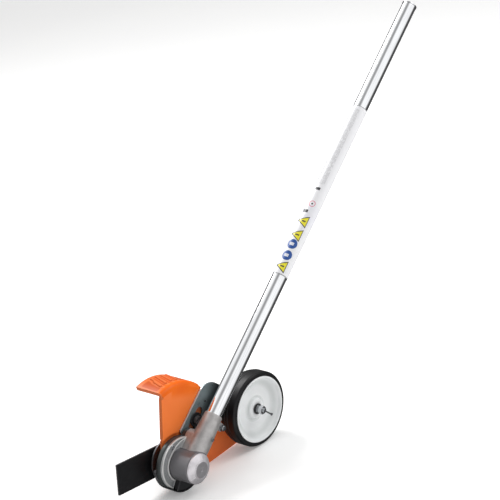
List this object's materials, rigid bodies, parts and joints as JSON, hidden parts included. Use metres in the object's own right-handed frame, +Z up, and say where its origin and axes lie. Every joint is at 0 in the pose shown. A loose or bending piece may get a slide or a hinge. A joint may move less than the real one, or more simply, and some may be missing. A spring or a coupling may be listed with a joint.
{
  "type": "lawn edger attachment",
  "caption": "Edger attachment: drive tube with bevel gearbox, flat spinning blade under a moulded guard, and a depth wheel on a sliding slotted plate.",
  "frame": {"origin": "middle of the footprint box, on the ground that the wheel and the skid shoe stand on", "axes": "+X the way it travels, +Y towards the gearbox cap and parallel to the blade shaft, +Z up"},
  "size_m": [0.8168, 0.1222, 0.6056],
  "materials": {
    "aluminium_tube": "brushed, streaked",
    "label_print": "printed film",
    "cast_grey": "grey painted casting",
    "cap_grey": "grey cast cap",
    "steel": "machined",
    "zinc": "zinc plated",
    "plate_zinc": "blue passivated sheet",
    "black_steel": "black oxide",
    "orange_plastic": "moulded",
    "rubber": "matte",
    "tyre_rubber": "matte, ribbed",
    "white_plastic": "moulded",
    "bronze": "sintered"
  },
  "bodies": {
    "frame": {"drive_tube": "aluminium_tube", "tube_label": "label_print", "tube_end_ring": "aluminium_tube", "shaft_bush_1": "rubber", "shaft_bush_2": "rubber", "shaft_bush_3": "rubber", "shaft_bush_4": "rubber", "gearbox_housing": "cast_grey", "gearbox_cap": "cap_grey", "oil_seal": "rubber", "grease_plug": "zinc", "clamp_screw": "zinc", "clamp_nut": "zinc", "locating_screw": "zinc", "input_circlip": "steel", "cap_bearing_outer_race": "steel", "cap_bearing_balls": "steel", "output_bearing_outer_race": "steel", "output_bearing_balls": "steel", "input_bearing_outer_race": "steel", "input_bearing_balls": "steel", "guard": "orange_plastic", "guard_screw_1": "zinc", "guard_screw_2": "zinc", "guard_screw_3": "zinc", "skid_shoe": "black_steel", "shoe_rivet_1": "steel", "shoe_rivet_2": "steel", "guide_block": "steel", "guide_bolt": "black_steel", "guide_washer": "black_steel", "guide_nut": "zinc"},
    "blade_rotor": {"output_shaft": "steel", "bevel_gear": "steel", "gear_collar": "steel", "cap_bearing_inner_race": "steel", "output_bearing_inner_race": "steel", "blade_flange": "steel", "edger_blade": "black_steel", "blade_washer": "steel", "blade_nut": "zinc"},
    "drive_line": {"drive_shaft": "steel", "bevel_pinion": "steel", "shaft_square_end": "steel", "input_bearing_inner_race": "steel"},
    "wheel_carrier": {"carrier_plate": "plate_zinc", "wheel_axle": "zinc", "axle_rear_nut": "zinc", "inner_washer": "zinc", "outer_washer": "black_steel", "axle_nut": "zinc", "nut_spacer": "zinc", "retaining_pin": "steel"},
    "depth_wheel": {"wheel_disc": "white_plastic", "tyre": "tyre_rubber", "wheel_bush": "bronze"}
  },
  "joints": [
    {"name": "blade_spin", "type": "hinge", "parent": "frame", "child": "blade_rotor", "pos_m": [0.30443, 0.02685, 0.04449], "axis": [0, 1, 0], "continuous": true},
    {"name": "drive_spin", "type": "hinge", "parent": "frame", "child": "drive_line", "pos_m": [0.30443, 0.02685, 0.04449], "axis": [-0.788, 0, 0.6157], "continuous": true},
    {"name": "wheel_depth", "type": "slide", "parent": "frame", "child": "wheel_carrier", "axis": [-0.788, 0, 0.6157], "range_m": [-0.011, 0.011]},
    {"name": "wheel_spin", "type": "hinge", "parent": "wheel_carrier", "child": "depth_wheel", "pos_m": [0.13693, 0.02685, 0.0632], "axis": [0, 1, 0], "continuous": true}
  ],
  "couplings": [
    {"joint": "drive_spin", "follows": "blade_spin", "ratio": -1.6364}
  ]
}
